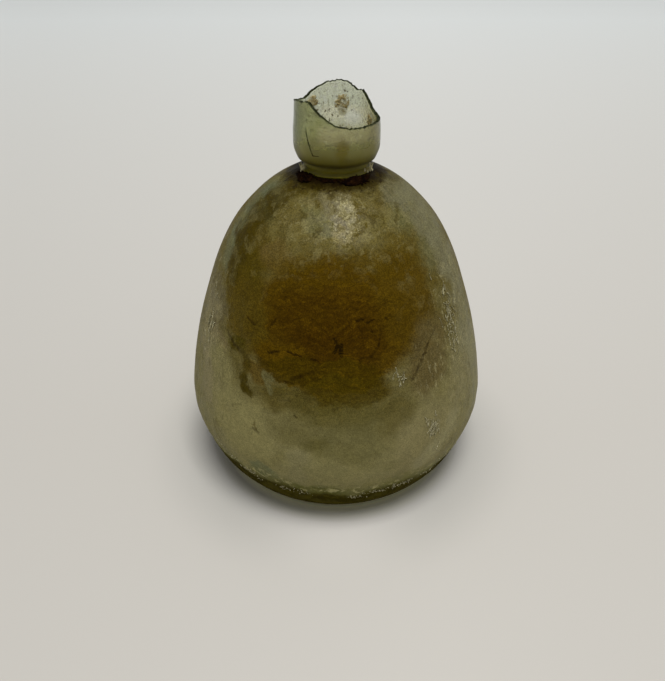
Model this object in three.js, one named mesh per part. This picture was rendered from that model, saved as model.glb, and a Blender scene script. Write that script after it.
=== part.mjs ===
// An old free-blown glass flask: a bell-shaped body with a pushed-in base, a short neck with a tooled collar, a
// cup-shaped mouth with a broken rim, the old mend at the neck, and the soil and lime that cling to the glass.
// Lengths are millimetres, +Z is up, the front is -Y, and the flask rests on z = 0.
import * as THREE from "three";

// Body: radii and heights of its outer skin, and its wall
const BELLY_RADIUS = 45;
const BELLY_HEIGHT = 22.4;
const RESTING_RADIUS = 34.2;
const BODY_HEIGHT = 92.4;
const BODY_WALL = 1.8;
const SHOULDER_FOOT = 54;

// Base: the flat ring that it rests on, the push-up inside that ring, and the height where the wall takes over
const RESTING_WIDTH = 3.6;
const KICK_RISE = 7;
const FLOOR_WALL = 2.4;
const FLOOR_HEIGHT = 5.2;

// Neck: its bore, its wall, the shelf of shoulder glass round its root, and the tooled ring
const BORE_RADIUS = 6.6;
const COLLAR_WALL = 1.8;
const COLLAR_HEIGHT = 2.2;
const RING_SWELL = 0.5;
const NECK_SHELF = 2;
const ROOT_WALL = 2.4;

// Mend: the layer of adhesive, and the residue and chips squeezed out round it
const SEAM_THICKNESS = 0.4;
const SEAM_INSET = 0.3;
const RESIDUE_HEIGHT = 1.7;
const CHIP_THICKNESS = 0.9;
const CHIP_LENGTH = 2.6;
const CHIP_HEIGHT = 2;

// Mouth: the cup from the collar to the highest point of its rim
const CUP_RADIUS = 11.4;
const CUP_HEIGHT = 17.6;
const CUP_WALL = 1.3;
const RIM_BEVEL = 0.25;

// Deposits, and the gap between any piece and the curved skin that it lies on
const CLEARANCE = 0.3;
const CRUST_THICKNESS = 0.6;
const FLAKE_THICKNESS = 0.35;
const SOIL_THICKNESS = 0.5;
const SPOT_THICKNESS = 0.4;

// Places worked out from the sizes above
const COLLAR_RADIUS = BORE_RADIUS + COLLAR_WALL;
const ROOT_RADIUS = COLLAR_RADIUS + NECK_SHELF;
const COLLAR_FOOT = BODY_HEIGHT + SEAM_THICKNESS;
const CUP_FOOT = COLLAR_FOOT + COLLAR_HEIGHT;

// Outer skin under the belly: share of the way out from the resting radius, share of the way up to the belly
const BASE_EDGE_SHARES = [[0, 0], [0.16, 0.075], [0.41, 0.23], [0.69, 0.48]];

// Outer skin above the belly: share of the way out from the neck's root, share of the way up to the root
const SHOULDER_SHARES = [
  [1, 0],
  [0.971, 0.158],
  [0.89, 0.342],
  [0.79, 0.5],
  [0.67, 0.658],
  [0.523, 0.789],
  [0.345, 0.888],
  [0.187, 0.95],
  [0, 1],
];

// Collar: share of the ring's swell, share of the collar's height
const COLLAR_SHARES = [[0.1, 0], [0, 0.25], [0.6, 0.42], [1, 0.6], [0.5, 0.78], [0.6, 1]];

// Cup: share of the way out from the collar to the cup's radius, share of the cup's height
const CUP_SHARES = [
  [0.1, 0],
  [0.6, 0.03],
  [0.75, 0.08],
  [0.95, 0.17],
  [1, 0.28],
  [1, 0.43],
  [0.89, 0.65],
  [0.8, 1],
];

// Broken rim: share of a turn from the front towards +X, share of the cup's height
const RIM_SHARES = [
  [0, 0.63],
  [0.06, 0.6],
  [0.29, 0.595],
  [0.325, 0.64],
  [0.35, 0.74],
  [0.385, 0.885],
  [0.413, 0.88],
  [0.45, 0.972],
  [0.485, 1],
  [0.54, 0.972],
  [0.6, 0.88],
  [0.65, 0.79],
  [0.69, 0.8],
  [0.75, 0.85],
  [0.86, 0.92],
  [0.887, 0.925],
  [0.93, 0.79],
  [0.965, 0.7],
  [1, 0.63],
];

// Share of the cup's height below which every turn of its skin is alike
const EVEN_CUP_SHARE = 0.43;

// Residue in the crease: where each lump starts and ends, as shares of a turn, and its share of the height
const RESIDUE_SHARES = {
  residue_left: [-0.21, -0.085, 1],
  residue_middle: [-0.07, 0.015, 0.75],
  residue_right: [0.03, 0.205, 0.9],
};

// Section of a residue lump: share of the shelf's width, share of the lump's height
const LUMP_SECTION_SHARES = [[0, 0], [1, 0], [0.8, 0.55], [0.35, 1], [0, 0.9]];
const LUMP_END_SHARE = 0.4;

// Pale chips: share of a turn where each stands
const CHIP_TURN_SHARES = { chip_left: -0.235, chip_right: 0.23 };

// A chip's jagged outline: share of its length, share of its height
const CHIP_OUTLINE_SHARES = [[-0.5, 0], [0.5, 0], [0.36, 0.45], [0.42, 0.8], [0.1, 0.62], [-0.12, 1], [-0.4, 0.5]];

// Deposits on the outside: share of a turn, share of the way up the skin, reach round as a share of the belly's
// radius, and reach up as a share of the body's height
const CRUST_SHARES = {
  crust_front: [0.047, 0.13, 0.36, 0.035],
  crust_front_left: [-0.046, 0.155, 0.2, 0.04],
  crust_left: [-0.122, 0.19, 0.36, 0.05],
  crust_right: [0.128, 0.158, 0.36, 0.045],
};
const FLAKE_SHARES = {
  flake_low: [0.101, 0.325, 0.1, 0.11],
  flake_middle: [0.065, 0.492, 0.12, 0.07],
  flake_high: [0.156, 0.6, 0.16, 0.2],
  flake_left: [-0.176, 0.54, 0.13, 0.16],
};

// Soil on the inside of the wall, in the same shares
const SOIL_SHARES = {
  soil_front: [-0.012, 0.61, 1.02, 0.36],
  soil_shoulder: [-0.155, 0.812, 0.16, 0.12],
};

// Residue on the inside of the cup: the same, with its reaches as shares of the cup's radius and height
const SPOT_SHARES = {
  cup_residue_middle: [0.48, 0.66, 0.36, 0.26],
  cup_residue_left: [0.62, 0.72, 0.3, 0.17],
  cup_residue_right: [0.335, 0.5, 0.26, 0.2],
};

// Ragged outline that deposits share: share of the reach, going round
const RAGGED_SHARES = [1, 0.95, 0.82, 0.86, 0.97, 0.9, 0.74, 0.8, 0.93, 1, 0.9, 0.72, 0.7, 0.84, 0.96, 0.92];
const DEPOSIT_RINGS = 3;
const DEPOSIT_EDGE_SHARE = 0.4;

// Steps round each piece and along its outline
const BODY_TURNS = 60;
const NECK_TURNS = 48;
const LUMP_TURNS = 10;
const STEPS_BETWEEN_POINTS = 2;
const KICK_STEPS = 6;
const CUP_STEPS = 10;

const glass = new THREE.MeshStandardMaterial({ color: 0x7c7a4e, roughness: 0.35, metalness: 0 });
const clearGlass = new THREE.MeshStandardMaterial({ color: 0x93a083, roughness: 0.15, metalness: 0 });
const adhesive = new THREE.MeshStandardMaterial({ color: 0x1f1209, roughness: 0.6, metalness: 0 });
const chipGlass = new THREE.MeshStandardMaterial({ color: 0xb4b294, roughness: 0.7, metalness: 0 });
const lime = new THREE.MeshStandardMaterial({ color: 0xa8a283, roughness: 0.95, metalness: 0 });
const soil = new THREE.MeshStandardMaterial({ color: 0x55401a, roughness: 0.95, metalness: 0 });

// A point between two values
const between = (low, high, share) => low + (high - low) * share;

// The outer skin of the body, from the edge of the resting ring to the root of the neck
function bodySkin() {
  const low = BASE_EDGE_SHARES.map(
    ([out, up]) => new THREE.Vector2(between(RESTING_RADIUS, BELLY_RADIUS, out), BELLY_HEIGHT * up),
  );
  const high = SHOULDER_SHARES.map(
    ([out, up]) =>
      new THREE.Vector2(between(ROOT_RADIUS, BELLY_RADIUS, out), between(BELLY_HEIGHT, BODY_HEIGHT, up)),
  );
  return new THREE.SplineCurve([...low, ...high]);
}

// The outer skin of the cup, from the collar to the highest point of the rim
function cupSkin() {
  const points = CUP_SHARES.map(
    ([out, up]) => new THREE.Vector2(between(COLLAR_RADIUS, CUP_RADIUS, out), CUP_FOOT + CUP_HEIGHT * up),
  );
  return new THREE.SplineCurve(points);
}

// A place on a skin, lifted square to it: t runs from 0 to 1 through the skin's own points
function lifted(skin, t, lift) {
  const place = skin.getPoint(t);
  const way = skin.getTangent(t);
  return new THREE.Vector2(place.x + lift * way.y, place.y - lift * way.x);
}

// A whole skin as points, lifted by a distance that is negative inwards
function skinPoints(skin, lift, steps) {
  return Array.from({ length: steps + 1 }, (_, i) => lifted(skin, i / steps, lift));
}

// The radius of a row of points at a height
function radiusAt(points, height) {
  const after = points.findIndex((point) => point.y >= height);
  if (after <= 0) return points[after < 0 ? points.length - 1 : 0].x;
  const [a, b] = [points[after - 1], points[after]];
  return between(a.x, b.x, (height - a.y) / (b.y - a.y));
}

const pointAt = (points, height) => new THREE.Vector2(radiusAt(points, height), height);
const above = (points, height) => points.filter((point) => point.y > height);
const below = (points, height) => points.filter((point) => point.y < height);

// A place at a radius, height and share of a turn, which starts at the front and goes towards +X
function onTurn(radius, height, turn) {
  const angle = 2 * Math.PI * turn;
  return [radius * Math.sin(angle), -radius * Math.cos(angle), height];
}

// A round solid from a closed outline, drawn up its outside and down its inside
function lathe(outline, turns) {
  return new THREE.LatheGeometry(outline, turns).rotateX(Math.PI / 2);
}

function meshOf(places, faces) {
  const geometry = new THREE.BufferGeometry();
  geometry.setAttribute("position", new THREE.Float32BufferAttribute(places.flat(), 3));
  geometry.setIndex(faces);
  geometry.computeVertexNormals();
  return geometry;
}

// A solid whose section may change as it goes round, closed on itself over a whole turn and capped otherwise
function swept(sectionAt, start, end, steps) {
  const whole = end - start === 1;
  const sections = Array.from({ length: whole ? steps : steps + 1 }, (_, i) => {
    const turn = between(start, end, i / steps);
    return sectionAt(turn, i / steps).map((point) => onTurn(point.x, point.y, turn));
  });
  const size = sections[0].length;
  const faces = [];
  for (let i = 0; i < steps; i++) {
    const here = i * size;
    const next = ((i + 1) % sections.length) * size;
    for (let j = 0; j < size; j++) {
      const up = (j + 1) % size;
      faces.push(here + j, next + j, here + up, next + up, here + up, next + j);
    }
  }
  if (!whole) {
    const last = steps * size;
    for (let j = 1; j < size - 1; j++) faces.push(0, j, j + 1, last, last + j + 1, last + j);
  }
  return meshOf(sections.flat(), faces);
}

// The base: its underside from the push-up to the base edge, and its upper side back to the middle
function baseFloor(outer, inner) {
  const ringInside = RESTING_RADIUS - RESTING_WIDTH;
  const kick = Array.from({ length: KICK_STEPS }, (_, i) => {
    const out = i / KICK_STEPS;
    return new THREE.Vector2(ringInside * out, KICK_RISE * (1 - out ** 2) ** 2);
  });
  const underside = [...kick, new THREE.Vector2(ringInside, 0), ...below(outer, FLOOR_HEIGHT)];
  const upperEdge = below(above(inner, FLOOR_WALL), FLOOR_HEIGHT).reverse();
  const upperKick = kick.map((point) => new THREE.Vector2(point.x, point.y + FLOOR_WALL)).reverse();
  return lathe(
    [
      ...underside,
      pointAt(outer, FLOOR_HEIGHT),
      pointAt(inner, FLOOR_HEIGHT),
      ...upperEdge,
      pointAt(inner, FLOOR_WALL),
      ...upperKick,
    ],
    BODY_TURNS,
  );
}

// The body's wall, from the floor up to the foot of the shoulder
function bodyWall(outer, inner) {
  const within = (points) => below(above(points, FLOOR_HEIGHT), SHOULDER_FOOT);
  const bottom = pointAt(outer, FLOOR_HEIGHT);
  const outside = [bottom, ...within(outer), pointAt(outer, SHOULDER_FOOT)];
  const inside = [pointAt(inner, SHOULDER_FOOT), ...within(inner).reverse(), pointAt(inner, FLOOR_HEIGHT)];
  return lathe([...outside, ...inside, bottom], BODY_TURNS);
}

// The shoulder, from its foot up to the shelf round the root of the neck
function shoulderDome(outer, inner) {
  const bottom = pointAt(outer, SHOULDER_FOOT);
  const under = below(above(inner, SHOULDER_FOOT), BODY_HEIGHT - ROOT_WALL);
  const clear = under.filter((point) => point.x > BORE_RADIUS + BODY_WALL);
  return lathe(
    [
      bottom,
      ...above(outer, SHOULDER_FOOT),
      new THREE.Vector2(BORE_RADIUS, BODY_HEIGHT),
      new THREE.Vector2(BORE_RADIUS, BODY_HEIGHT - ROOT_WALL),
      ...clear.reverse(),
      pointAt(inner, SHOULDER_FOOT),
      bottom,
    ],
    BODY_TURNS,
  );
}

// The layer of adhesive between the shoulder and the neck
function mendSeam() {
  const inside = BORE_RADIUS + SEAM_INSET;
  const outside = COLLAR_RADIUS - SEAM_INSET;
  const start = new THREE.Vector2(inside, BODY_HEIGHT);
  return lathe(
    [
      start,
      new THREE.Vector2(outside, BODY_HEIGHT),
      new THREE.Vector2(outside, COLLAR_FOOT),
      new THREE.Vector2(inside, COLLAR_FOOT),
      start,
    ],
    NECK_TURNS,
  );
}

// The neck with its tooled ring
function neckCollar() {
  const points = COLLAR_SHARES.map(
    ([out, up]) => new THREE.Vector2(COLLAR_RADIUS + RING_SWELL * out, COLLAR_FOOT + COLLAR_HEIGHT * up),
  );
  const foot = new THREE.Vector2(BORE_RADIUS, COLLAR_FOOT);
  const top = new THREE.Vector2(BORE_RADIUS, CUP_FOOT);
  return lathe([foot, ...points, top, foot], NECK_TURNS);
}

// The height of the broken rim at a share of a turn
function rimHeight(turn) {
  const after = Math.max(1, RIM_SHARES.findIndex(([at]) => at >= turn));
  const [turnBefore, upBefore] = RIM_SHARES[after - 1];
  const [turnAfter, upAfter] = RIM_SHARES[after];
  return CUP_FOOT + CUP_HEIGHT * between(upBefore, upAfter, (turn - turnBefore) / (turnAfter - turnBefore));
}

// The cup: its skins are alike all round, and only the height where they break off changes
function mouthCup(skin) {
  const steps = STEPS_BETWEEN_POINTS * (CUP_SHARES.length - 1);
  const outer = skinPoints(skin, 0, steps);
  const inner = skinPoints(skin, -CUP_WALL, steps).filter((point) => point.x > BORE_RADIUS);
  const even = CUP_FOOT + CUP_HEIGHT * EVEN_CUP_SHARE;
  const rise = (share, top) => {
    if (share <= EVEN_CUP_SHARE) return CUP_FOOT + CUP_HEIGHT * share;
    return between(even, top, (share - EVEN_CUP_SHARE) / (1 - EVEN_CUP_SHARE));
  };
  const sectionAt = (turn) => {
    const top = rimHeight(turn);
    const up = Array.from({ length: CUP_STEPS + 1 }, (_, i) => pointAt(outer, rise(i / CUP_STEPS, top)));
    const lip = top - RIM_BEVEL;
    const down = Array.from({ length: CUP_STEPS }, (_, i) => pointAt(inner, rise(1 - i / CUP_STEPS, lip)));
    return [...up, ...down, new THREE.Vector2(BORE_RADIUS, CUP_FOOT)];
  };
  return swept(sectionAt, 0, 1, BODY_TURNS);
}

// A lump of residue on the shelf round the neck, thin at both ends
function residueLump([start, end, highest]) {
  const inside = COLLAR_RADIUS + RING_SWELL * COLLAR_SHARES[0][0] + CLEARANCE;
  const width = ROOT_RADIUS - inside;
  const sectionAt = (turn, share) => {
    const fullness = between(LUMP_END_SHARE, 1, Math.sin(Math.PI * share));
    const top = RESIDUE_HEIGHT * highest * fullness;
    return LUMP_SECTION_SHARES.map(
      ([out, up]) => new THREE.Vector2(inside + width * out * fullness, BODY_HEIGHT + top * up),
    );
  };
  return swept(sectionAt, start, end, LUMP_TURNS);
}

// A pale chip, standing on the shelf with its flat side towards the neck
function neckChip() {
  const outline = new THREE.Shape(
    CHIP_OUTLINE_SHARES.map(([along, up]) => new THREE.Vector2(CHIP_LENGTH * along, CHIP_HEIGHT * up)),
  );
  const chip = new THREE.ExtrudeGeometry(outline, { depth: CHIP_THICKNESS, bevelEnabled: false, steps: 1 });
  return chip.rotateX(Math.PI / 2);
}

// A ragged deposit that lies over a skin: base is its distance from the skin and thickness its own, both negative
// on the inside
function deposit(skin, [turn, run], [across, along], base, thickness, shift) {
  const length = skin.getLength();
  const girth = 2 * Math.PI * skin.getPointAt(run).x;
  const edges = RAGGED_SHARES.length;
  const over = (sideways, upwards, lift) => {
    const place = lifted(skin, skin.getUtoTmapping(run + upwards / length, 0), lift);
    return onTurn(place.x, place.y, turn + sideways / girth);
  };
  const layer = (rise) => {
    const places = [over(0, 0, rise(0))];
    for (let ring = 1; ring <= DEPOSIT_RINGS; ring++) {
      const share = ring / DEPOSIT_RINGS;
      for (let k = 0; k < edges; k++) {
        const reach = (share * RAGGED_SHARES[(k + shift) % edges]) / 2;
        const angle = (2 * Math.PI * k) / edges;
        places.push(over(across * reach * Math.cos(angle), along * reach * Math.sin(angle), rise(share)));
      }
    }
    return places;
  };
  const crown = (share) => base + thickness * between(1, DEPOSIT_EDGE_SHARE, share ** 2);
  const top = layer(crown);
  const bottom = layer(() => base);
  const faces = [];
  const both = (a, b, c) => {
    faces.push(a, b, c);
    faces.push(top.length + a, top.length + c, top.length + b);
  };
  for (let k = 0; k < edges; k++) {
    const next = (k + 1) % edges;
    both(0, 1 + k, 1 + next);
    for (let ring = 1; ring < DEPOSIT_RINGS; ring++) {
      const inside = 1 + (ring - 1) * edges;
      const outside = inside + edges;
      both(inside + k, outside + k, outside + next);
      both(inside + k, outside + next, inside + next);
    }
    const rim = 1 + (DEPOSIT_RINGS - 1) * edges;
    faces.push(rim + k, top.length + rim + k, top.length + rim + next);
    faces.push(rim + k, top.length + rim + next, rim + next);
  }
  return meshOf([...top, ...bottom], thickness < 0 ? faces.reverse() : faces);
}

const flask = new THREE.Group();

function add(name, geometry, material) {
  const mesh = new THREE.Mesh(geometry, material);
  mesh.name = name;
  flask.add(mesh);
  return mesh;
}

// The glass
const skin = bodySkin();
const skinSteps = STEPS_BETWEEN_POINTS * (BASE_EDGE_SHARES.length + SHOULDER_SHARES.length - 1);
const outerSkin = skinPoints(skin, 0, skinSteps);
const innerSkin = skinPoints(skin, -BODY_WALL, skinSteps);
const mouth = cupSkin();
add("base_floor", baseFloor(outerSkin, innerSkin), glass);
add("body_wall", bodyWall(outerSkin, innerSkin), glass);
add("shoulder", shoulderDome(outerSkin, innerSkin), glass);
add("neck_collar", neckCollar(), clearGlass);
add("mouth_cup", mouthCup(mouth), clearGlass);

// The mend
add("mend_seam", mendSeam(), adhesive);
for (const [name, shares] of Object.entries(RESIDUE_SHARES)) add(name, residueLump(shares), adhesive);
for (const [name, turn] of Object.entries(CHIP_TURN_SHARES)) {
  const chip = add(name, neckChip(), chipGlass);
  chip.rotation.z = 2 * Math.PI * turn;
  chip.position.set(...onTurn(COLLAR_RADIUS + RING_SWELL + CLEARANCE, BODY_HEIGHT, turn));
}

// Lime outside the body, soil inside it, and spots inside the cup
function addDeposits(places, skin, [radius, height], base, thickness, material) {
  Object.entries(places).forEach(([name, [turn, run, wide, high]], i) => {
    const reach = [radius * wide, height * high];
    add(name, deposit(skin, [turn, run], reach, base, thickness, i), material);
  });
}
const bodyReach = [BELLY_RADIUS, BODY_HEIGHT];
const cupReach = [CUP_RADIUS, CUP_HEIGHT];
addDeposits(CRUST_SHARES, skin, bodyReach, CLEARANCE, CRUST_THICKNESS, lime);
addDeposits(FLAKE_SHARES, skin, bodyReach, CLEARANCE, FLAKE_THICKNESS, lime);
addDeposits(SOIL_SHARES, skin, bodyReach, -BODY_WALL - CLEARANCE, -SOIL_THICKNESS, soil);
addDeposits(SPOT_SHARES, mouth, cupReach, -CUP_WALL - CLEARANCE, -SPOT_THICKNESS, soil);

export default flask;
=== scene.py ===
import math
import random

import bmesh
import bpy
from mathutils import Matrix, Vector, noise


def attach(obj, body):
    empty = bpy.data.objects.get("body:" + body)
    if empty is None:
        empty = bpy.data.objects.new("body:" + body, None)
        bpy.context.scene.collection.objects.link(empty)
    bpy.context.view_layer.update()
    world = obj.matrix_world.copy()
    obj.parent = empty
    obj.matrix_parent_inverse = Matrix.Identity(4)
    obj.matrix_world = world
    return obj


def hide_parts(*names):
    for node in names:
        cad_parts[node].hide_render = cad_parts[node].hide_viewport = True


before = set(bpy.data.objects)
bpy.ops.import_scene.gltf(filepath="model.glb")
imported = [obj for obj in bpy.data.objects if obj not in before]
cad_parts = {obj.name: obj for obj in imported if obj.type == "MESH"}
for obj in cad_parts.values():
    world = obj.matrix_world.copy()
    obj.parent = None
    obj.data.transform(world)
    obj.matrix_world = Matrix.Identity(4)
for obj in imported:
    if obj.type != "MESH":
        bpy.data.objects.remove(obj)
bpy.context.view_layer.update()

scene = bpy.context.scene
scene.view_settings.view_transform = "Standard"

# The flask is seen from close by and from above its mouth, at the height of a hand that holds a camera
# over a table, so the lens is wide and looks down.
picture_height = 681
focal_pixels = 666
sensor_side = 36
camera_tilt = math.radians(33.78)
camera = bpy.data.objects.new("camera", bpy.data.cameras.new("camera"))
camera.data.sensor_width = sensor_side
camera.data.lens = focal_pixels * sensor_side / picture_height
camera.data.clip_start = 0.01
camera.location = (-0.0011, -0.1739, 0.1528)
camera.rotation_euler = (math.pi / 2 - camera_tilt, 0, 0)
scene.collection.objects.link(camera)
scene.camera = camera


# A pale table, wide enough to fill every view, with light and shade painted into it, under one soft lamp overhead.
# The pale room shines mostly from above, and shows pale all round, so that clear glass has something light behind
# it.
def linear(red, green, blue):
    """A colour as it is read off a screen, from 0 to 255, as Blender's own linear colour"""
    shares = [value / 255 for value in (red, green, blue)]
    return tuple(s / 12.92 if s <= 0.04045 else ((s + 0.055) / 1.055) ** 2.4 for s in shares) + (1,)


def give(made, values):
    """A node's inputs set to values, or joined to what changes over the surface"""
    for name, value in values.items():
        if isinstance(value, bpy.types.NodeSocket):
            made.id_data.links.new(value, made.inputs[name])
        else:
            made.inputs[name].default_value = value


def put(tree, kind, inputs=None, **settings):
    """A shader node with its settings and its inputs"""
    made = tree.nodes.new(kind)
    for name, value in settings.items():
        setattr(made, name, value)
    give(made, inputs or {})
    return made


def sum_of(operation, first, second):
    """A math node's result, in the tree that the first value belongs to"""
    return put(first.id_data, "ShaderNodeMath", {0: first, 1: second}, operation=operation).outputs[0]


def spread(value, low, high, start=0.0, end=1.0, interpolation="LINEAR"):
    """A value that runs from start to end as another runs from low to high"""
    inputs = {"Value": value, "From Min": low, "From Max": high, "To Min": start, "To Max": end}
    return put(value.id_data, "ShaderNodeMapRange", inputs, interpolation_type=interpolation).outputs[0]


def ramp(value, low, high, start=0.0, end=1.0):
    """A soft run from start to end"""
    return spread(value, low, high, start, end, "SMOOTHSTEP")


def moved(operation, first, second):
    """A vector math node's result, a length or a dot product being a number"""
    made = put(first.id_data, "ShaderNodeVectorMath", {0: first, 1: second}, operation=operation)
    return made.outputs["Value" if operation in ("LENGTH", "DOT_PRODUCT") else "Vector"]


def scaled(value, by):
    """A colour or a place, times a number"""
    return put(value.id_data, "ShaderNodeVectorMath", {0: value, "Scale": by}, operation="SCALE").outputs[0]


def part_of(place, axis):
    return put(place.id_data, "ShaderNodeSeparateXYZ", {0: place}).outputs[axis]


def grey(value):
    return put(value.id_data, "ShaderNodeCombineColor", {0: value, 1: value, 2: value}).outputs[0]


def layered(mask, under, over):
    """One colour laid over another where a mask is bright"""
    return put(mask.id_data, "ShaderNodeMix", {0: mask, 6: under, 7: over}, data_type="RGBA").outputs[2]


def surface(name):
    """A material, its tree, its shader, and the place on the object to paint by"""
    material = bpy.data.materials.new(name)
    material.use_nodes = True
    tree = material.node_tree
    return material, tree, tree.nodes["Principled BSDF"], put(tree, "ShaderNodeTexCoord").outputs["Object"]


def shell(name, bm, *materials, smooth=True):
    """A bmesh turned into an object at the origin"""
    mesh = bpy.data.meshes.new(name)
    bm.to_mesh(mesh)
    bm.free()
    for material in materials:
        mesh.materials.append(material)
    for face in mesh.polygons:
        face.use_smooth = smooth
    made = bpy.data.objects.new(name, mesh)
    scene.collection.objects.link(made)
    return made


table_reach = 4
room_grey = 206, 207, 203
table_near = 212, 208, 200
table_far = 235, 238, 236
far_away = 0.9
bm = bmesh.new()
bmesh.ops.create_grid(bm, x_segments=1, y_segments=1, size=table_reach)
tabletop, tree, shader, place = surface("tabletop")
across, back = part_of(place, "X"), part_of(place, "Y")
# The table is painted paler towards the back, as painted light where the lamp's light falls off
colour = layered(spread(back, 0, far_away), linear(*table_near), linear(*table_far))

# The table is painted a little darker to both sides of the view, which widens towards the back: painted shade
view_start = 0.35
view_middle = 0.08
off_view = sum_of("SUBTRACT", sum_of("DIVIDE", across, sum_of("ADD", back, view_start)), view_middle)
colour = scaled(colour, spread(sum_of("ABSOLUTE", off_view, 0), 0.02, 0.42, 1.0, 0.93))

# Light through the thin glass and the shadow of the flask are painted into the table, by distance from the middle
# of
# the foot: a greenish glow right under the edge, shadow where the wall overhangs, darker beside the foot than
# before it
under_edge = 0.0352, 0.0378
under_wall = 0.0385, 0.0415
beside = 0.002, 0.034
soft_end = 0.042, 0.066
reach = moved("LENGTH", place, (0, 0, 0))
side_shadow_and_front_light = layered(ramp(sum_of("ABSOLUTE", across, 0), *beside), (1.08, 1.08, 1.09, 1), (0.85, 0.86, 0.86, 1))
side_shadow_and_front_light = layered(ramp(reach, *soft_end), side_shadow_and_front_light, (1, 1, 1, 1))
foot_glow_and_shadow = layered(spread(reach, *under_edge), (1.68, 1.70, 1.21, 1), (0.79, 0.80, 0.72, 1))
colour = moved("MULTIPLY", colour, layered(spread(reach, *under_wall), foot_glow_and_shadow, side_shadow_and_front_light))
give(shader, {"Base Color": colour, "Roughness": 0.75, "Specular IOR Level": 0.2})
floor = shell("tabletop", bm, tabletop, smooth=False)

world = bpy.data.worlds.new("room")
world.use_nodes = True
scene.world = world
tree = world.node_tree
ray = put(tree, "ShaderNodeLightPath").outputs
seen = sum_of("MAXIMUM", ray["Is Camera Ray"], ray["Is Glossy Ray"])
seen = sum_of("MAXIMUM", seen, ray["Is Transmission Ray"])
up = part_of(put(tree, "ShaderNodeTexCoord").outputs["Generated"], "Z")
shine = grey(spread(up, 0.0, 1.0, 0.09, 0.46))
give(tree.nodes["Background"], {"Color": layered(seen, shine, linear(*room_grey))})

lamp = bpy.data.objects.new("ceiling_lamp", bpy.data.lights.new("ceiling_lamp", "AREA"))
lamp.data.shape = "SQUARE"
lamp.data.size = 1.5
lamp.data.energy = 92
lamp.location = (0.3, -0.84, 3.6)
lamp.rotation_euler = (Vector((0, 0, 0.05)) - lamp.location).to_track_quat("-Z", "Y").to_euler()
scene.collection.objects.link(lamp)


# The body is one bubble of thin glass, widest low down, with its base pushed in so that it stands on a ring.
# Its wall is drawn here as one line, up the outside and down the inside, and turned round the axis.
belly_radius = 0.045
belly_height = 0.0224
resting_radius = 0.0342
resting_width = 0.0036
body_height = 0.0924
body_wall = 0.0018
kick_rise = 0.007
floor_wall = 0.0024
bore_radius = 0.0066
collar_radius = 0.0084
root_radius = 0.0104
root_wall = 0.0024
base_edge_shares = [(0, 0), (0.16, 0.075), (0.41, 0.23), (0.69, 0.48)]
shoulder_shares = [
    (1, 0), (0.971, 0.158), (0.89, 0.342), (0.79, 0.5), (0.67, 0.658),
    (0.523, 0.789), (0.345, 0.888), (0.187, 0.95), (0, 1),
]
body_turns = 180
steps_between_points = 5
kick_steps = 14
merge_distance = 1e-6


def between(low, high, share):
    return low + (high - low) * share


def smooth_line(points, steps):
    """A line that runs smoothly through its points, each a radius and a height"""
    ends = [points[0], *points, points[-1]]
    line = []
    for before, start, end, after in zip(ends, ends[1:], ends[2:], ends[3:]):
        for i in range(steps):
            t = i / steps
            bend = (end - before) / 2, (after - start) / 2
            line.append(
                (2 * start - 2 * end + bend[0] + bend[1]) * t**3
                + (3 * end - 3 * start - 2 * bend[0] - bend[1]) * t**2
                + bend[0] * t
                + start
            )
    return line + [points[-1]]


def lifted(line, lift):
    """A line moved square to itself, to its right as it runs"""
    moved = []
    for i, point in enumerate(line):
        way = (line[min(i + 1, len(line) - 1)] - line[max(i - 1, 0)]).normalized()
        moved.append(point + lift * Vector((way.y, -way.x)))
    return moved


def outward(bm):
    """Every face of a closed piece turned to look out of it"""
    bmesh.ops.recalc_face_normals(bm, faces=bm.faces)
    if bm.calc_volume(signed=True) < 0:
        bmesh.ops.reverse_faces(bm, faces=bm.faces)


def spun(bm, line, turns, closed):
    """A line of radii and heights, turned once round the Z axis"""
    points = [bm.verts.new((point.x, 0, point.y)) for point in line]
    edges = [bm.edges.new(pair) for pair in zip(points, points[1:] + (points[:1] if closed else []))]
    whole = {"cent": (0, 0, 0), "axis": (0, 0, 1), "angle": math.tau}
    bmesh.ops.spin(bm, geom=points + edges, steps=turns, use_merge=True, **whole)


def turned(line, turns, closed=True):
    """A line turned into a skin that is merged and faces out"""
    bm = bmesh.new()
    spun(bm, line, turns, closed)
    bmesh.ops.remove_doubles(bm, verts=bm.verts, dist=merge_distance)
    bmesh.ops.dissolve_degenerate(bm, edges=bm.edges, dist=merge_distance / 10)
    outward(bm)
    return bm


body_points = [
    Vector((between(resting_radius, belly_radius, out), belly_height * up)) for out, up in base_edge_shares
] + [
    Vector((between(root_radius, belly_radius, out), between(belly_height, body_height, up)))
    for out, up in shoulder_shares
]
body_skin = smooth_line(body_points, steps_between_points)
for point in body_skin:
    point.x = min(point.x, belly_radius)
body_inside = [
    point
    for point in lifted(body_skin, -body_wall)
    if floor_wall < point.y < body_height - root_wall and point.x > bore_radius + body_wall
]
ring_inside = resting_radius - resting_width
kick = [
    Vector((ring_inside * i / kick_steps, kick_rise * (1 - (i / kick_steps) ** 2) ** 2)) for i in range(kick_steps)
]
body_line = [
    *kick,
    Vector((ring_inside, 0)),
    *body_skin,
    Vector((bore_radius, body_height)),
    Vector((bore_radius, body_height - root_wall)),
    *reversed(body_inside),
    *[point + Vector((0, floor_wall)) for point in reversed(kick)],
]


# Old glass isn't one colour. Each of the next effects is a shader group that paints by place on the piece:
# a ragged place, a patch, a stroke, a mottle and hair lines.
def effect(name, inputs, output):
    """An empty shader group with named inputs, each with a resting value, and one named output"""
    group = bpy.data.node_groups.new(name, "ShaderNodeTree")
    for label, value in inputs.items():
        kind = "NodeSocketVector" if isinstance(value, tuple) else "NodeSocketFloat"
        group.interface.new_socket(label, in_out="INPUT", socket_type=kind).default_value = value
    kind = "NodeSocketVector" if output == "Place" else "NodeSocketFloat"
    group.interface.new_socket(output, in_out="OUTPUT", socket_type=kind)
    return group, group.nodes.new("NodeGroupInput").outputs, group.nodes.new("NodeGroupOutput").inputs


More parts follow.
